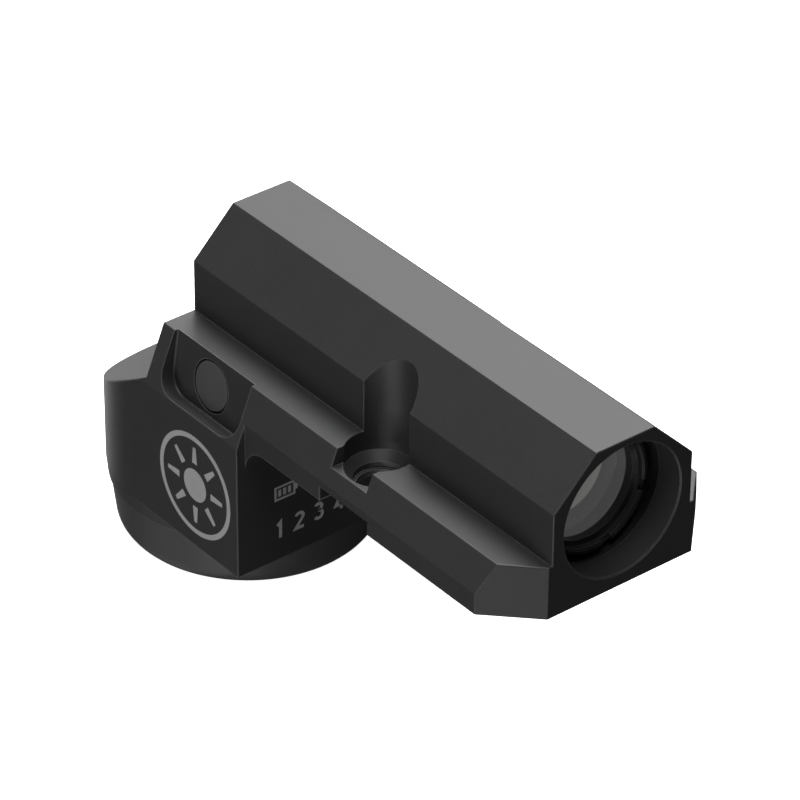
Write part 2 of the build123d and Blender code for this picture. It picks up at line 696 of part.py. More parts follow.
def coin_cell():
    z0 = CAP_FLOOR_Z + 0.03
    z1 = z0 + CELL_1632_H
    return turned_z([(0, z0), (CELL_1632_R - 0.4, z0), (CELL_1632_R, z0 + 0.4), (CELL_1632_R, z1 - 0.5),
                     (CELL_1632_R - 0.9, z1 - 0.3), (CELL_1632_R - 0.9, z1), (0, z1)])


def battery_cap():
    """Screw cap: rounded cup with a threaded neck, a seal groove in its shoulder and a coin slot."""
    groove_z = CAP_TOP_Z - CAP_GROOVE_DEPTH
    groove_in = CAP_SEAL_R - CAP_GROOVE_HALF
    groove_out = CAP_SEAL_R + CAP_GROOVE_HALF
    profile = [(0, CAP_BOTTOM_Z), (CAP_R - CAP_DRAFT, CAP_BOTTOM_Z), (CAP_R, CAP_TOP_Z),
               (groove_out, CAP_TOP_Z), (groove_out, groove_z), (groove_in, groove_z),
               (groove_in, CAP_TOP_Z), (CAP_NECK_R, CAP_TOP_Z), (CAP_NECK_R, CAP_NECK_TOP),
               (CAP_INNER_R, CAP_NECK_TOP), (CAP_INNER_R, CAP_FLOOR_Z), (0, CAP_FLOOR_Z)]
    cap = turned_z(profile)
    rim = cap.edges().filter_by(GeomType.CIRCLE).sort_by(Axis.Z)[0]
    cap = fillet(rim, CAP_BOTTOM_ROUND)
    return cap - block(-6.5, 6.5, DRUM_Y - 0.9, DRUM_Y + 0.9, CAP_BOTTOM_Z - 1, CAP_BOTTOM_Z + 0.75)


def battery_cap_seal():
    return Pos(0, DRUM_Y, CAP_TOP_Z - 0.36) * Torus(CAP_SEAL_R, 0.33)


def all_parts():
    return {
        "main_housing": main_housing(),
        "objective_cell": tilted(objective_cell()),
        "objective_retaining_ring": tilted(objective_retaining_ring()),
        "objective_front_element": tilted(objective_front_element()),
        "objective_rear_element": tilted(objective_rear_element()),
        "objective_seal": tilted(objective_seal()),
        "light_baffle": tilted(light_baffle()),
        "rear_window": rear_window(),
        "rear_window_seal": rear_window_seal(),
        "rear_retaining_ring": rear_retaining_ring(),
        "purge_screw": purge_screw(),
        "intensity_button": intensity_button(),
        "button_seal": button_seal(),
        "dome_switch": dome_switch(),
        "switch_board": switch_board(),
        "switch_flex": switch_flex(),
        "guide_pins": guide_pins(),
        "elevation_carriage": elevation_carriage(),
        "windage_slide": windage_slide(),
        "windage_yoke": windage_yoke(),
        "emitter_board": emitter_board(),
        "emitter_led": emitter_led(),
        "emitter_flex": emitter_flex(),
        "elevation_spring": elevation_spring(),
        "windage_spring": windage_spring(),
        "elevation_screw": at_elevation(adjustment_screw(ELEVATION_SHANK)),
        "elevation_screw_seal": at_elevation(screw_seal()),
        "elevation_screw_clip": at_elevation(screw_clip(ELEVATION_WEB)),
        "elevation_click_ball": at_elevation(click_ball()),
        "elevation_click_spring": at_elevation(click_spring()),
        "windage_screw": at_windage(adjustment_screw(WINDAGE_SHANK)),
        "windage_screw_seal": at_windage(screw_seal()),
        "windage_screw_clip": at_windage(screw_clip(WINDAGE_WEB)),
        "windage_click_ball": at_windage(click_ball()),
        "windage_click_spring": at_windage(click_spring()),
        "main_board": main_board(),
        "controller_chip": controller_chip(),
        "board_capacitors": board_capacitors(),
        "board_screws": board_screws(),
        "ground_lug": ground_lug(),
        "battery_insulator": battery_insulator(),
        "cell_contact_spring": cell_contact_spring(),
        "coin_cell": coin_cell(),
        "battery_cap": battery_cap(),
        "battery_cap_seal": battery_cap_seal(),
    }


os.makedirs("parts", exist_ok=True)
for name, shape in all_parts().items():
    export_step(shape, "parts/" + name + ".step")
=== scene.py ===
"""Looks for the enclosed red dot finder: materials, engraved marks, studio and camera."""
import math

import bmesh
import bpy
from mathutils import Matrix, Vector


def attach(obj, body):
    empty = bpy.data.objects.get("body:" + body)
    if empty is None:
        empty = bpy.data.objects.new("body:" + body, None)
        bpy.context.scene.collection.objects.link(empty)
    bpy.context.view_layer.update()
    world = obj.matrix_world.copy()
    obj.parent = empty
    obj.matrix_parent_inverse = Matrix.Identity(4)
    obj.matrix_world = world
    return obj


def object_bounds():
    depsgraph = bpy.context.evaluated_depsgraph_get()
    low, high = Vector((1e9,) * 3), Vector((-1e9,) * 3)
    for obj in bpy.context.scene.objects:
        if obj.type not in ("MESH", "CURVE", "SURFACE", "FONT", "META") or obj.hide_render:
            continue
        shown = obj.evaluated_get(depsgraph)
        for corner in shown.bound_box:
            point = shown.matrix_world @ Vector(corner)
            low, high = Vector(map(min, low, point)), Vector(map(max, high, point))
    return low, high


MM = 0.001
TAU = 2.0 * math.pi

# Camera, fitted so that the frame's origin and axes fall where the reference view has them.
CAMERA_TARGET = Vector((-3.794, 1.981, 5.564)) * MM
CAMERA_DISTANCE = 361.96 * MM
CAMERA_AZIMUTH = math.radians(-38.80)
CAMERA_ELEVATION = math.radians(33.93)
CAMERA_ROLL = math.radians(0.486)
CAMERA_LENS = 215.44
SENSOR_WIDTH = 36.0

# The lens: the bore's height, the depth from which a face counts as the cemented one, the radius of the
# half-mirror on it, and the painted glow, an emission that stands in for the half-mirror's reflection
# and for the light that coatings and ground rims scatter.
BORE_Z = 5.63
LENS_JOIN_Y = -13.85
LENS_JOIN_BLUR = 0.20
HALF_MIRROR_R = 3.65
HALF_MIRROR_BLUR = 0.06
LENS_PAINTED_GLOW = (0.010, 0.010, 0.010)
MIRROR_PAINTED_REFLECTION = (0.212, 0.213, 0.206)
JOIN_PAINTED_GLOW = (0.078, 0.078, 0.078)
RIM_PAINTED_GLOW = (0.060, 0.060, 0.060)

# How much of the glass shader covers the clear one: on the outer face, on the cemented face, on the rims.
FACE_COVER = 0.16
JOIN_COVER = 0.42
RIM_COVER = 0.85
CLEAR_TINT = (0.90, 0.91, 0.90, 1.0)

# Marks on the drum: the faces they lie on and how far they stand out.
DRUM_SIDE_X = -11.66
DRUM_FRONT_Y = 12.25
MARK_SINK = 0.004
MARK_PROUD = 0.012
ARC_STEPS = 64
MITRE_LIMIT = 0.35

# Emblem: a ring, a disc and rays that narrow outwards, each end's width given as a share of the ray's.
EMBLEM_CENTRE = (17.76, -7.62)
EMBLEM_RING_OUTER = 4.62
EMBLEM_RING_INNER = 4.17
EMBLEM_DISC_R = 1.45
EMBLEM_RAYS = 8
EMBLEM_RAY_START = 2.05
EMBLEM_RAY_END = 3.55
EMBLEM_RAY_WIDTH = 0.52
EMBLEM_RAY_INNER = 1.2
EMBLEM_RAY_OUTER = 0.7

# Digits: unit shapes one high, their middle DIGIT_MIDDLE from their left, on a row that rises slightly.
DIGIT_HEIGHT = 1.60
DIGIT_MIDDLE = 0.30
DIGIT_ARC_STEP = 15
DIGIT_BASE_Z = -11.38
DIGIT_RISE = 0.034
DIGIT_STROKE = 0.30
DIGIT_CENTRES = (-7.46, -5.58, -3.68, -1.62)
BATTERY_PLACE = (-8.02, -7.78)
WEDGE_PLACE = (-3.66, -9.50)

# Pale outside edges, partly wear and partly painted highlight for the light the edges catch: how much lighter
# than the finish, and by how much at least.
EDGE_WEAR_HIGHLIGHT_GAIN = 3.0
EDGE_WEAR_HIGHLIGHT_LIFT = 0.05

# The floor lies this far under the cap, so that the two never share a plane.
FLOOR_GAP = 0.05
FLOOR_HALF = 1.6
FLOOR_CELLS = 40
FLOOR_GLOW = 1.12
SOFTBOX_DISTANCE = 1.0


# ---------------------------------------------------------------- node helpers

def blank(name):
    """A material with a bare Principled shader."""
    material = bpy.data.materials.new("finish_" + name)
    material.use_nodes = True
    tree = material.node_tree
    tree.nodes.clear()
    out = tree.nodes.new("ShaderNodeOutputMaterial")
    shader = tree.nodes.new("ShaderNodeBsdfPrincipled")
    tree.links.new(shader.outputs["BSDF"], out.inputs["Surface"])
    return material, tree, shader


def object_place(tree):
    return tree.nodes.new("ShaderNodeTexCoord").outputs["Object"]


def noise(tree, place, per_mm, detail=3.0, roughness=0.55, stretch=None):
    """Noise with per_mm cells to the millimetre, stretched along an axis where asked."""
    if stretch:
        mapping = tree.nodes.new("ShaderNodeMapping")
        mapping.inputs["Scale"].default_value = stretch
        tree.links.new(place, mapping.inputs["Vector"])
        place = mapping.outputs["Vector"]
    node = tree.nodes.new("ShaderNodeTexNoise")
    node.inputs["Scale"].default_value = per_mm / MM
    node.inputs["Detail"].default_value = detail
    node.inputs["Roughness"].default_value = roughness
    tree.links.new(place, node.inputs["Vector"])
    return node.outputs["Fac"]


def remap(tree, value, low, high, to_low, to_high):
    node = tree.nodes.new("ShaderNodeMapRange")
    node.inputs["From Min"].default_value = low
    node.inputs["From Max"].default_value = high
    node.inputs["To Min"].default_value = to_low
    node.inputs["To Max"].default_value = to_high
    tree.links.new(value, node.inputs["Value"])
    return node.outputs["Result"]


def ramp(tree, value, stops):
    """A colour ramp over (position, colour) stops."""
    node = tree.nodes.new("ShaderNodeValToRGB")
    elements = node.color_ramp.elements
    while len(elements) < len(stops):
        elements.new(0.5)
    for element, (position, colour) in zip(elements, stops):
        element.position = position
        element.color = (*colour, 1.0)
    tree.links.new(value, node.inputs["Fac"])
    return node.outputs["Color"]


def mixed(tree, factor, first, second):
    """Two colours mixed by a factor; either may be an output or an rgb triple."""
    node = tree.nodes.new("ShaderNodeMix")
    node.data_type = "RGBA"
    tree.links.new(factor, node.inputs["Factor"])
    for socket, colour in ((node.inputs[6], first), (node.inputs[7], second)):
        if isinstance(colour, tuple):
            socket.default_value = (*colour, 1.0)
        else:
            tree.links.new(colour, socket)
    return node.outputs[2]


def bumped(tree, shader, height, strength, depth_mm):
    node = tree.nodes.new("ShaderNodeBump")
    node.inputs["Strength"].default_value = strength
    node.inputs["Distance"].default_value = depth_mm * MM
    tree.links.new(height, node.inputs["Height"])
    tree.links.new(node.outputs["Normal"], shader.inputs["Normal"])


def edge_mask(tree, radius_mm, low=0.02, high=0.22):
    """Strong on outside edges, from how far a rounded normal leaves the true one."""
    bevel = tree.nodes.new("ShaderNodeBevel")
    bevel.samples = 4
    bevel.inputs["Radius"].default_value = radius_mm * MM
    geometry = tree.nodes.new("ShaderNodeNewGeometry")
    dot = tree.nodes.new("ShaderNodeVectorMath")
    dot.operation = "DOT_PRODUCT"
    tree.links.new(bevel.outputs["Normal"], dot.inputs[0])
    tree.links.new(geometry.outputs["Normal"], dot.inputs[1])
    return remap(tree, dot.outputs["Value"], 1.0 - low, 1.0 - high, 0.0, 1.0)


# ---------------------------------------------------------------- finishes

def anodised(name, dark, light, rough, grain_per_mm=9.0, bump=0.35, depth=0.006, edge=0.0, edge_mm=0.22):
    """Matte bead-blasted aluminium, anodised: fine grain, faint clouding, and pale edges that are partly wear
    and partly painted highlight.
    """
    material, tree, shader = blank(name)
    place = object_place(tree)
    grain = noise(tree, place, grain_per_mm, 4.0, 0.6)
    clouds = noise(tree, place, 0.22, 3.0, 0.5)
    colour = ramp(tree, grain, ((0.30, dark), (0.72, light)))
    tint = mixed(tree, remap(tree, clouds, 0.35, 0.70, 0.0, 0.35), colour, dark)
    # Pale outside edges: wear and painted highlight, a lighter colour laid along the edge mask in patches.
    if edge > 0.0:
        worn_highlit_edge = tuple(min(1.0, c * EDGE_WEAR_HIGHLIGHT_GAIN + EDGE_WEAR_HIGHLIGHT_LIFT) for c in light)
        mask = edge_mask(tree, edge_mm)
        edge_wear_highlight_amount = tree.nodes.new("ShaderNodeMath")
        edge_wear_highlight_amount.operation = "MULTIPLY"
        tree.links.new(mask, edge_wear_highlight_amount.inputs[0])
        tree.links.new(remap(tree, clouds, 0.30, 0.65, 0.35 * edge, edge), edge_wear_highlight_amount.inputs[1])
        tint = mixed(tree, edge_wear_highlight_amount.outputs[0], tint, worn_highlit_edge)
    tree.links.new(tint, shader.inputs["Base Color"])
    mottled = remap(tree, grain, 0.25, 0.75, rough - 0.05, rough + 0.05)
    tree.links.new(mottled, shader.inputs["Roughness"])
    shader.inputs["IOR"].default_value = 1.50
    bumped(tree, shader, grain, bump, depth)
    return material


def turned_metal(name, dark, light, rough, axis="z", lines_per_mm=6.0, bump=0.25):
    """Bare metal with the fine rings or lines a tool leaves."""
    material, tree, shader = blank(name)
    place = object_place(tree)
    stretch = {"x": (1.0, 0.06, 0.06), "y": (0.06, 1.0, 0.06), "z": (0.06, 0.06, 1.0)}[axis]
    lines = noise(tree, place, lines_per_mm, 4.0, 0.6, stretch)
    specks = noise(tree, place, 2.5, 3.0, 0.5)
    colour = ramp(tree, lines, ((0.30, dark), (0.70, light)))
    stained = mixed(tree, remap(tree, specks, 0.45, 0.75, 0.0, 0.45), colour, dark)
    tree.links.new(stained, shader.inputs["Base Color"])
    tree.links.new(remap(tree, lines, 0.2, 0.8, rough - 0.07, rough + 0.07), shader.inputs["Roughness"])
    shader.inputs["Metallic"].default_value = 1.0
    bumped(tree, shader, lines, bump, 0.004)
    return material


def rubbery(name, dark, light, rough=0.62, per_mm=7.0, bump=0.4):
    """Moulded rubber: soft pebble and a dull bloom."""
    material, tree, shader = blank(name)
    place = object_place(tree)
    pebble = noise(tree, place, per_mm, 5.0, 0.65)
    bloom = noise(tree, place, 0.6, 3.0, 0.5)
    colour = ramp(tree, pebble, ((0.32, dark), (0.70, light)))
    bloomed = mixed(tree, remap(tree, bloom, 0.40, 0.75, 0.0, 0.5), colour, light)
    tree.links.new(bloomed, shader.inputs["Base Color"])
    tree.links.new(remap(tree, bloom, 0.3, 0.7, rough, rough + 0.12), shader.inputs["Roughness"])
    shader.inputs["Sheen Weight"].default_value = 0.12
    shader.inputs["Sheen Roughness"].default_value = 0.4
    bumped(tree, shader, pebble, bump, 0.012)
    return material


def moulded(name, dark, light, rough=0.45, per_mm=5.0, bump=0.2, glow=None):
    """Moulded plastic, ceramic or resin with a fine texture."""
    material, tree, shader = blank(name)
    place = object_place(tree)
    texture = noise(tree, place, per_mm, 4.0, 0.6)
    drift = noise(tree, place, 0.5, 2.0, 0.5)
    colour = ramp(tree, texture, ((0.30, dark), (0.72, light)))
    varied = mixed(tree, remap(tree, drift, 0.40, 0.70, 0.0, 0.5), colour, dark)
    tree.links.new(varied, shader.inputs["Base Color"])
    tree.links.new(remap(tree, texture, 0.25, 0.75, rough - 0.06, rough + 0.06), shader.inputs["Roughness"])
    bumped(tree, shader, texture, bump, 0.006)
    if glow:
        shader.inputs["Emission Color"].default_value = (*glow, 1.0)
        shader.inputs["Emission Strength"].default_value = 0.6
    return material


def laminate(name):
    """Circuit board: woven glass under dark solder mask, with a grid of fine tracks."""
    material, tree, shader = blank(name)
    place = object_place(tree)
    weave = tree.nodes.new("ShaderNodeTexWave")
    threads_per_mm = 1.6
    bands_per_unit = 6.0
    weave.inputs["Scale"].default_value = threads_per_mm / MM / bands_per_unit
    weave.inputs["Distortion"].default_value = 1.5
    tree.links.new(place, weave.inputs["Vector"])
    tracks = tree.nodes.new("ShaderNodeTexBrick")
    tracks.inputs["Scale"].default_value = 0.9 / MM
    tracks.inputs["Mortar Size"].default_value = 0.05
    tree.links.new(place, tracks.inputs["Vector"])
    fibre = noise(tree, place, 3.0, 3.0, 0.5)
    mask = ramp(tree, fibre, ((0.30, (0.004, 0.030, 0.014)), (0.72, (0.010, 0.060, 0.028))))
    copper = (0.020, 0.085, 0.040)
    tracked = mixed(tree, remap(tree, tracks.outputs["Fac"], 0.4, 0.6, 0.0, 1.0), mask, copper)
    tree.links.new(tracked, shader.inputs["Base Color"])
    tree.links.new(remap(tree, weave.outputs["Fac"], 0.0, 1.0, 0.30, 0.42), shader.inputs["Roughness"])
    bumped(tree, shader, weave.outputs["Fac"], 0.15, 0.01)
    return material


def coated_glass(name):
    """Coated glass: clear faces, a half-mirror on the cemented face, ground rims, a trace of dust; the
    half-mirror's reflection and the grey of the faces and rims are painted glow, given as emission.
    """
    material, tree, shader = blank(name)
    place = object_place(tree)
    depth = tree.nodes.new("ShaderNodeSeparateXYZ")
    tree.links.new(place, depth.inputs["Vector"])
    geometry = tree.nodes.new("ShaderNodeNewGeometry")
    facing = tree.nodes.new("ShaderNodeSeparateXYZ")
    tree.links.new(geometry.outputs["Normal"], facing.inputs["Vector"])
    flatness = tree.nodes.new("ShaderNodeMath")
    flatness.operation = "ABSOLUTE"
    tree.links.new(facing.outputs["Y"], flatness.inputs[0])
    rim = remap(tree, flatness.outputs[0], 0.80, 0.60, 0.0, 1.0)
    dust = noise(tree, place, 4.0, 4.0, 0.6)
    haze = noise(tree, place, 0.15, 2.0, 0.5)
    across = tree.nodes.new("ShaderNodeVectorMath")
    across.operation = "MULTIPLY_ADD"
    across.inputs[1].default_value = (1.0, 0.0, 1.0)
    across.inputs[2].default_value = (0.0, 0.0, -BORE_Z * MM)
    tree.links.new(place, across.inputs[0])
    radius = tree.nodes.new("ShaderNodeVectorMath")
    radius.operation = "LENGTH"
    tree.links.new(across.outputs[0], radius.inputs[0])
    mirror_end = (HALF_MIRROR_R + HALF_MIRROR_BLUR) * MM
    mirror = remap(tree, radius.outputs["Value"], HALF_MIRROR_R * MM, mirror_end, 1.0, 0.0)
    join_end = (LENS_JOIN_Y + LENS_JOIN_BLUR) * MM
    inner = remap(tree, depth.outputs["Y"], LENS_JOIN_Y * MM, join_end, 0.0, 1.0)
    rear = remap(tree, depth.outputs["Y"], 0.0, 1.0 * MM, 0.0, 1.0)
    behind = tree.nodes.new("ShaderNodeMath")
    behind.operation = "SUBTRACT"
    behind.use_clamp = True
    tree.links.new(inner, behind.inputs[0])
    tree.links.new(rear, behind.inputs[1])
    tint = ramp(tree, haze, ((0.30, (0.150, 0.155, 0.152)), (0.70, (0.170, 0.174, 0.170))))
    tree.links.new(tint, shader.inputs["Base Color"])
    tree.links.new(remap(tree, dust, 0.55, 0.80, 0.06, 0.16), shader.inputs["Roughness"])
    shader.inputs["IOR"].default_value = 1.60
    shader.inputs["Coat Weight"].default_value = 0.6
    shader.inputs["Coat IOR"].default_value = 1.9
    shader.inputs["Coat Roughness"].default_value = 0.04
    # Painted glow: emission colours stand in for the half-mirror's reflection and for light the outer face,
    # cemented face and ground rims scatter.
    join_glow = mixed(tree, mirror, JOIN_PAINTED_GLOW, MIRROR_PAINTED_REFLECTION)
    painted_glow = mixed(tree, rim, mixed(tree, behind.outputs[0], LENS_PAINTED_GLOW, join_glow), RIM_PAINTED_GLOW)
    tree.links.new(painted_glow, shader.inputs["Emission Color"])
    shader.inputs["Emission Strength"].default_value = 1.0
    bumped(tree, shader, haze, 0.02, 0.002)
    clear = tree.nodes.new("ShaderNodeBsdfTransparent")
    clear.inputs["Color"].default_value = CLEAR_TINT
    cover = tree.nodes.new("ShaderNodeMath")
    cover.operation = "MAXIMUM"
    tree.links.new(remap(tree, behind.outputs[0], 0.0, 1.0, FACE_COVER, JOIN_COVER), cover.inputs[0])
    tree.links.new(remap(tree, rim, 0.0, 1.0, 0.0, RIM_COVER), cover.inputs[1])
    blend = tree.nodes.new("ShaderNodeMixShader")
    tree.links.new(cover.outputs[0], blend.inputs["Fac"])
    tree.links.new(clear.outputs["BSDF"], blend.inputs[1])
    tree.links.new(shader.outputs["BSDF"], blend.inputs[2])
    tree.links.new(blend.outputs["Shader"], tree.nodes["Material Output"].inputs["Surface"])
    return material


def etched_mark(name):
    """Laser-etched marking: pale, dry, with fine hatching and speckle."""
    material, tree, shader = blank(name)
    place = object_place(tree)
    speckle = noise(tree, place, 12.0, 4.0, 0.65)
    patch = noise(tree, place, 0.8, 3.0, 0.5)
    colour = ramp(tree, speckle, ((0.28, (0.34, 0.34, 0.34)), (0.70, (0.50, 0.50, 0.50))))
    worn = mixed(tree, remap(tree, patch, 0.45, 0.75, 0.0, 0.3), colour, (0.30, 0.30, 0.30))
    tree.links.new(worn, shader.inputs["Base Color"])
    tree.links.new(remap(tree, speckle, 0.2, 0.8, 0.62, 0.80), shader.inputs["Roughness"])
    bumped(tree, shader, speckle, 0.4, 0.004)
    return material


def finishes():
    """One finish for each material slot of the record, by slot name."""
    return {
        # The edge amounts set how strongly the painted edge highlight, with some wear, lightens outside
        # edges.
        "housing_anodised": anodised(
            "housing_anodised", (0.024, 0.024, 0.0245), (0.038, 0.038, 0.0385), 0.46, edge=1.8, edge_mm=0.14),
        "cap_anodised": anodised(
            "cap_anodised", (0.037, 0.037, 0.0375), (0.062, 0.062, 0.0625), 0.46, edge=0.7),
        "cell_anodised": anodised(
            "cell_anodised", (0.020, 0.020, 0.0205), (0.034, 0.034, 0.0345), 0.34, 22.0, 0.06, edge=0.6),
        "ring_anodised": anodised(
            "ring_anodised", (0.009, 0.009, 0.0092), (0.016, 0.016, 0.0162), 0.30, 22.0, 0.06,
            edge=4.0, edge_mm=0.14),
        "adjuster_anodised": anodised(
            "adjuster_anodised", (0.030, 0.030, 0.031), (0.046, 0.046, 0.047), 0.34, edge=0.4),
        "lens_glass": coated_glass("lens_glass"),
        "seal_rubber": rubbery("seal_rubber", (0.010, 0.010, 0.010), (0.022, 0.022, 0.022)),
        "baffle_black": rubbery("baffle_black", (0.006, 0.006, 0.006), (0.012, 0.012, 0.012), 0.8, 10.0),
        "screw_steel": turned_metal("screw_steel", (0.22, 0.22, 0.23), (0.48, 0.48, 0.49), 0.34),
        "spring_steel": turned_metal("spring_steel", (0.30, 0.30, 0.31), (0.58, 0.57, 0.56), 0.25, "x"),
        "button_rubber": rubbery(
            "button_rubber", (0.052, 0.052, 0.053), (0.074, 0.074, 0.075), 0.5, 8.0, 0.3),
        "switch_metal": turned_metal("switch_metal", (0.40, 0.39, 0.37), (0.68, 0.66, 0.62), 0.3, "y"),
        "board_laminate": laminate("board_laminate"),
        "flex_polyimide": moulded("flex_polyimide", (0.28, 0.11, 0.02), (0.46, 0.20, 0.04), 0.28),
        "stage_brass": turned_metal("stage_brass", (0.42, 0.29, 0.11), (0.72, 0.53, 0.24), 0.30),
        "emitter_resin": moulded(
            "emitter_resin", (0.45, 0.02, 0.015), (0.62, 0.05, 0.03), 0.12, 5.0, 0.05, (1.0, 0.05, 0.03)),
        "chip_plastic": moulded("chip_plastic", (0.012, 0.012, 0.012), (0.030, 0.030, 0.030), 0.55),
        "capacitor_ceramic": moulded("capacitor_ceramic", (0.30, 0.20, 0.12), (0.46, 0.33, 0.22), 0.4),
        "contact_brass": turned_metal("contact_brass", (0.50, 0.36, 0.14), (0.80, 0.62, 0.30), 0.26, "y"),
        "insulator_plastic": moulded("insulator_plastic", (0.42, 0.40, 0.34), (0.60, 0.58, 0.52), 0.5),
        "cell_steel": turned_metal("cell_steel", (0.46, 0.46, 0.47), (0.72, 0.72, 0.73), 0.22, "x"),
    }


def dress(nodes, looks):
    """Gives every carried-over node the finish of its own slot."""
    for node in nodes.values():
        for holder in node.material_slots:
            holder.material = looks[holder.material.name]


# ---------------------------------------------------------------- marks

def ring_points(radius):
    """Points round a circle, counter-clockwise."""
    turns = [TAU * i / ARC_STEPS for i in range(ARC_STEPS)]
    return [(radius * math.cos(turn), radius * math.sin(turn)) for turn in turns]


class Plate:
    """Thin flat shapes gathered in one mesh, drawn in millimetres on a flat face."""

    def __init__(self):
        self.mesh = bmesh.new()

    def band(self, outer, inner):
        """A closed band between two loops with equal counts."""
        count = len(outer)
        top = [[self.mesh.verts.new((x, y, MARK_PROUD)) for x, y in loop] for loop in (outer, inner)]
        low = [[self.mesh.verts.new((x, y, -MARK_SINK)) for x, y in loop] for loop in (outer, inner)]
        for i in range(count):
            j = (i + 1) % count
            self.mesh.faces.new((top[0][i], top[0][j], top[1][j], top[1][i]))
            self.mesh.faces.new((low[0][j], low[0][i], low[1][i], low[1][j]))
            self.mesh.faces.new((low[0][i], low[0][j], top[0][j], top[0][i]))
            self.mesh.faces.new((low[1][j], low[1][i], top[1][i], top[1][j]))

    def area(self, loop):
        """A filled outline, counter-clockwise."""
        count = len(loop)
        top = [self.mesh.verts.new((x, y, MARK_PROUD)) for x, y in loop]
        low = [self.mesh.verts.new((x, y, -MARK_SINK)) for x, y in loop]
        self.mesh.faces.new(top)
        self.mesh.faces.new(low[::-1])
        for i in range(count):
            j = (i + 1) % count
            self.mesh.faces.new((low[i], low[j], top[j], top[i]))

    def stroke(self, points, width):
        """A line of constant width with mitred corners and square ends."""
        left, right = [], []
        for i, point in enumerate(points):
            here = Vector(point)
            before = Vector(points[max(i - 1, 0)])
            after = Vector(points[min(i + 1, len(points) - 1)])
            first = (here - before) if i else (after - here)
            second = (after - here) if i < len(points) - 1 else (here - before)
            first, second = first.normalized(), second.normalized()
            side = Vector((-first.y - second.y, first.x + second.x)).normalized()
            reach = 0.5 * width / max(MITRE_LIMIT, side.dot(Vector((-first.y, first.x))))
            left.append(tuple(here + side * reach))
            right.append(tuple(here - side * reach))
        self.area(right + left[::-1])

    def piece(self, name, placing, body, finish):
        """The finished mesh, put on its face, riding on its body."""
        mesh = bpy.data.meshes.new(name)
        bmesh.ops.recalc_face_normals(self.mesh, faces=self.mesh.faces)
        self.mesh.to_mesh(mesh)
        self.mesh.free()
        mesh.transform(placing)
        mesh.materials.append(finish)
        item = bpy.data.objects.new(name, mesh)
        bpy.context.scene.collection.objects.link(item)
        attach(item, body)


def facing_left(y, z):
    """Places a drawing on the drum's left side, its x along -Y and its y up."""
    axes = Matrix(((0, 0, -1, DRUM_SIDE_X), (-1, 0, 0, y), (0, 1, 0, z), (0, 0, 0, 1)))
    return Matrix.Scale(MM, 4) @ axes


def facing_front(x, z):
    """Places a drawing on the drum's front face, its x along +X and its y up."""
    axes = Matrix(((1, 0, 0, x), (0, 0, -1, DRUM_FRONT_Y), (0, 1, 0, z), (0, 0, 0, 1)))
    return Matrix.Scale(MM, 4) @ axes


def brightness_emblem(finish):
    """A sun in a ring, for the brightness of the dot."""
    plate = Plate()
    plate.band(ring_points(EMBLEM_RING_OUTER), ring_points(EMBLEM_RING_INNER))
    plate.area(ring_points(EMBLEM_DISC_R))
    for i in range(EMBLEM_RAYS):
        turn = TAU * i / EMBLEM_RAYS
        along = Vector((math.cos(turn), math.sin(turn)))
        across = Vector((-along.y, along.x)) * EMBLEM_RAY_WIDTH * 0.5
        near, far = along * EMBLEM_RAY_START, along * EMBLEM_RAY_END
        flare, taper = across * EMBLEM_RAY_INNER, across * EMBLEM_RAY_OUTER
        plate.area([tuple(near - flare), tuple(far - taper), tuple(far + taper), tuple(near + flare)])
    plate.piece("brightness_emblem", facing_left(*EMBLEM_CENTRE), "housing", finish)


def bow(x, y, half_width, half_height, start, stop):
    """A clockwise arc of an ellipse, from start to stop in whole degrees."""
    turns = [math.radians(degrees) for degrees in range(start, stop, -DIGIT_ARC_STEP)]
    return [(x + half_width * math.cos(turn), y + half_height * math.sin(turn)) for turn in turns]


def digit_strokes():
    """1 to 4 as centre lines, in units of the digit height."""
    two = bow(0.30, 0.73, 0.23, 0.21, 160, -50) + [(0.06, 0.07), (0.56, 0.07)]
    upper = bow(0.29, 0.745, 0.20, 0.19, 150, -91)
    lower = bow(0.29, 0.30, 0.24, 0.235, 90, -151)
    return {
        "1": [[(0.10, 0.76), (0.30, 0.93), (0.30, 0.0)]],
        "2": [two],
        "3": [upper, lower],
        "4": [[(0.62, 0.27), (0.07, 0.27), (0.43, 0.93), (0.43, 0.0)]],
    }


def setting_digits(finish):
    """The brightness settings, 1 to 4, on the drum's front face."""
    shapes = digit_strokes()
    for number, centre in zip("1234", DIGIT_CENTRES):
        plate = Plate()
        for line in shapes[number]:
            points = [((x - DIGIT_MIDDLE) * DIGIT_HEIGHT, y * DIGIT_HEIGHT) for x, y in line]
            plate.stroke(points, DIGIT_STROKE)
        base_z = DIGIT_BASE_Z + DIGIT_RISE * (centre - DIGIT_CENTRES[0])
        plate.piece("setting_" + number, facing_front(centre, base_z), "housing", finish)


def battery_icon(finish):
    """A cell outline with its charge bars, in place of lettering."""
    plate = Plate()
    width, height, wall = 2.05, 1.35, 0.20
    outer = [(0.0, 0.0), (width, 0.0), (width, height), (0.0, height)]
    inner = [(wall, wall), (width - wall, wall), (width - wall, height - wall), (wall, height - wall)]
    plate.band(outer, inner)
    cap_low, cap_end = 0.42, width + 0.22
    plate.area([(width, cap_low), (cap_end, cap_low), (cap_end, height - cap_low), (width, height - cap_low)])
    bar_low, bar_width = 0.36, 0.30
    for start in (0.36, 0.84, 1.32):
        end = start + bar_width
        plate.area([(start, bar_low), (end, bar_low), (end, height - bar_low), (start, height - bar_low)])
    plate.piece("battery_icon", facing_front(*BATTERY_PLACE), "housing", finish)


def level_icon(finish):
    """A falling wedge, in place of the half-hidden mark."""
    plate = Plate()
    outer = [(0.0, 0.0), (2.30, 0.0), (0.0, 1.45)]
    inner = [(0.16, 0.16), (1.72, 0.16), (0.16, 1.15)]
    plate.band(outer, inner)
    plate.piece("level_icon", facing_front(*WEDGE_PLACE), "housing", finish)


# ---------------------------------------------------------------- studio

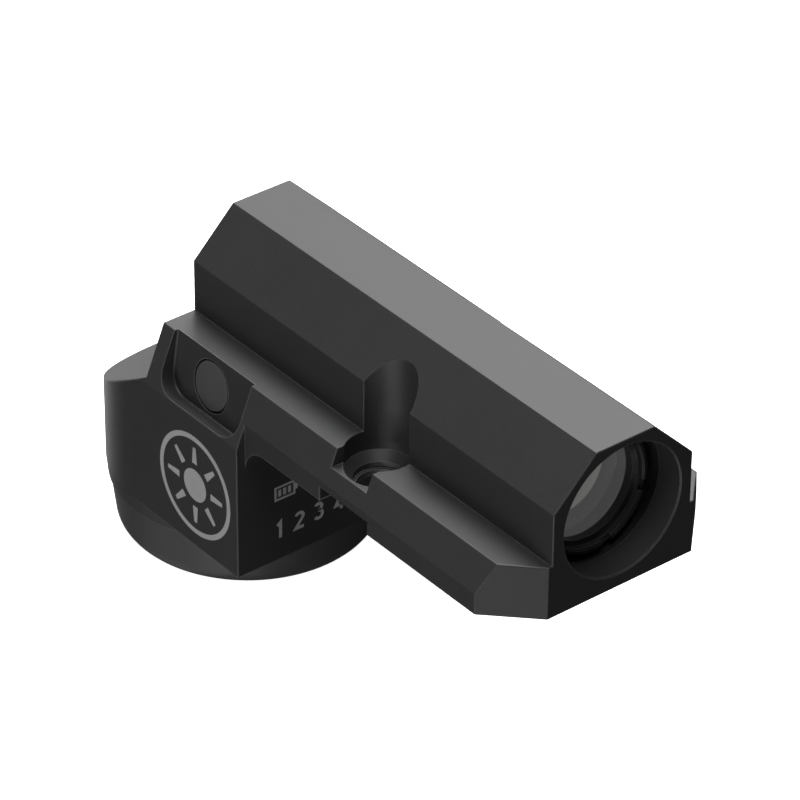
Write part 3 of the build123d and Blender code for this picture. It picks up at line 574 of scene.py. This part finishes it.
def floor(height):
    """A plain pale sweep under the object."""
    mesh = bpy.data.meshes.new("studio_floor")
    form = bmesh.new()
    bmesh.ops.create_grid(form, x_segments=FLOOR_CELLS, y_segments=FLOOR_CELLS, size=FLOOR_HALF)
    form.to_mesh(mesh)
    form.free()
    item = bpy.data.objects.new("studio_floor", mesh)
    item.location = (0.0, 0.0, height)
    bpy.context.scene.collection.objects.link(item)
    material, tree, shader = blank("studio_floor")
    place = object_place(tree)
    paper = noise(tree, place, 0.4, 4.0, 0.6)
    tint = ramp(tree, paper, ((0.2, (0.86, 0.86, 0.86)), (0.8, (0.92, 0.92, 0.92))))
    tree.links.new(tint, shader.inputs["Base Color"])
    shader.inputs["Roughness"].default_value = 0.9
    shader.inputs["Specular IOR Level"].default_value = 0.0
    tree.links.new(tint, shader.inputs["Emission Color"])
    shader.inputs["Emission Strength"].default_value = FLOOR_GLOW
    mesh.materials.append(material)
    item.visible_diffuse = False
    item.visible_glossy = False
    item.visible_shadow = False


def softbox(name, azimuth, elevation, size, power):
    """A broad white light aimed at the origin from an azimuth and elevation in degrees."""
    data = bpy.data.lights.new(name, "AREA")
    data.shape = "RECTANGLE"
    data.size = size[0]
    data.size_y = size[1]
    data.energy = power
    item = bpy.data.objects.new(name, data)
    az, el = math.radians(azimuth), math.radians(elevation)
    out = Vector((math.sin(az) * math.cos(el), -math.cos(az) * math.cos(el), math.sin(el)))
    item.location = out * SOFTBOX_DISTANCE
    item.rotation_euler = out.to_track_quat("Z", "Y").to_euler()
    bpy.context.scene.collection.objects.link(item)


def lights():
    softbox("rear_softbox", 145.0, 60.0, (0.50, 0.55), 6.6)
    softbox("rear_low_softbox", 135.0, 28.0, (0.45, 0.40), 2.1)
    softbox("overhead_softbox", 130.0, 74.0, (0.50, 0.50), 4.0)
    softbox("ledge_softbox", 172.0, 52.0, (0.35, 0.35), 0.9)
    softbox("front_top_fill", -45.0, 72.0, (0.45, 0.45), 4.5)
    softbox("right_softbox", 105.0, 34.0, (0.45, 0.40), 0.8)
    softbox("left_softbox", -105.0, 5.0, (0.45, 0.35), 1.2)
    softbox("left_floor_bounce", -76.0, -20.0, (0.80, 0.40), 2.3)
    softbox("low_floor_bounce", -62.0, -50.0, (0.50, 0.45), 1.2)
    softbox("deep_floor_bounce", -132.0, -58.0, (0.55, 0.50), 0.5)
    softbox("front_floor_bounce", -21.0, -20.0, (0.40, 0.40), 0.8)
    softbox("rear_floor_bounce", 170.0, -22.0, (0.70, 0.40), 1.6)


def surroundings():
    world = bpy.data.worlds.new("studio")
    world.use_nodes = True
    background = world.node_tree.nodes["Background"]
    background.inputs["Color"].default_value = (1.0, 1.0, 1.0, 1.0)
    background.inputs["Strength"].default_value = 0.02
    bpy.context.scene.world = world
    view = bpy.context.scene.view_settings
    view.view_transform = "Standard"
    view.look = "None"


def camera():
    """The reference view: fitted azimuth, elevation, roll, distance and lens."""
    back = Vector((
        math.sin(CAMERA_AZIMUTH) * math.cos(CAMERA_ELEVATION),
        -math.cos(CAMERA_AZIMUTH) * math.cos(CAMERA_ELEVATION),
        math.sin(CAMERA_ELEVATION),
    ))
    level = Vector((math.cos(CAMERA_AZIMUTH), math.sin(CAMERA_AZIMUTH), 0.0))
    upright = back.cross(level)
    right = level * math.cos(CAMERA_ROLL) + upright * math.sin(CAMERA_ROLL)
    up = back.cross(right)
    data = bpy.data.cameras.new("studio_camera")
    data.lens = CAMERA_LENS
    data.sensor_width = SENSOR_WIDTH
    data.clip_start = 0.01
    data.clip_end = 10.0
    item = bpy.data.objects.new("studio_camera", data)
    place = CAMERA_TARGET + back * CAMERA_DISTANCE
    item.matrix_world = Matrix((
        (right.x, up.x, back.x, place.x),
        (right.y, up.y, back.y, place.y),
        (right.z, up.z, back.z, place.z),
        (0.0, 0.0, 0.0, 1.0),
    ))
    bpy.context.scene.collection.objects.link(item)
    bpy.context.scene.camera = item


# ---------------------------------------------------------------- assembly

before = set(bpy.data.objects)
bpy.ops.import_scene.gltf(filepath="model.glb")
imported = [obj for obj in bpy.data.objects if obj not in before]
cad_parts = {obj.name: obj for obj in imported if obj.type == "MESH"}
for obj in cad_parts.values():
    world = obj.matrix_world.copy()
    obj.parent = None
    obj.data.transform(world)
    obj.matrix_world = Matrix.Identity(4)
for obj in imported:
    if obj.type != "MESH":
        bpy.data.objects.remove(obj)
cad_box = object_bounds()

dress(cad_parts, finishes())
mark_finish = etched_mark("etched_mark")
brightness_emblem(mark_finish)
setting_digits(mark_finish)
battery_icon(mark_finish)
level_icon(mark_finish)

surroundings()
floor(cad_box[0][2] - FLOOR_GAP * MM)
lights()
camera()
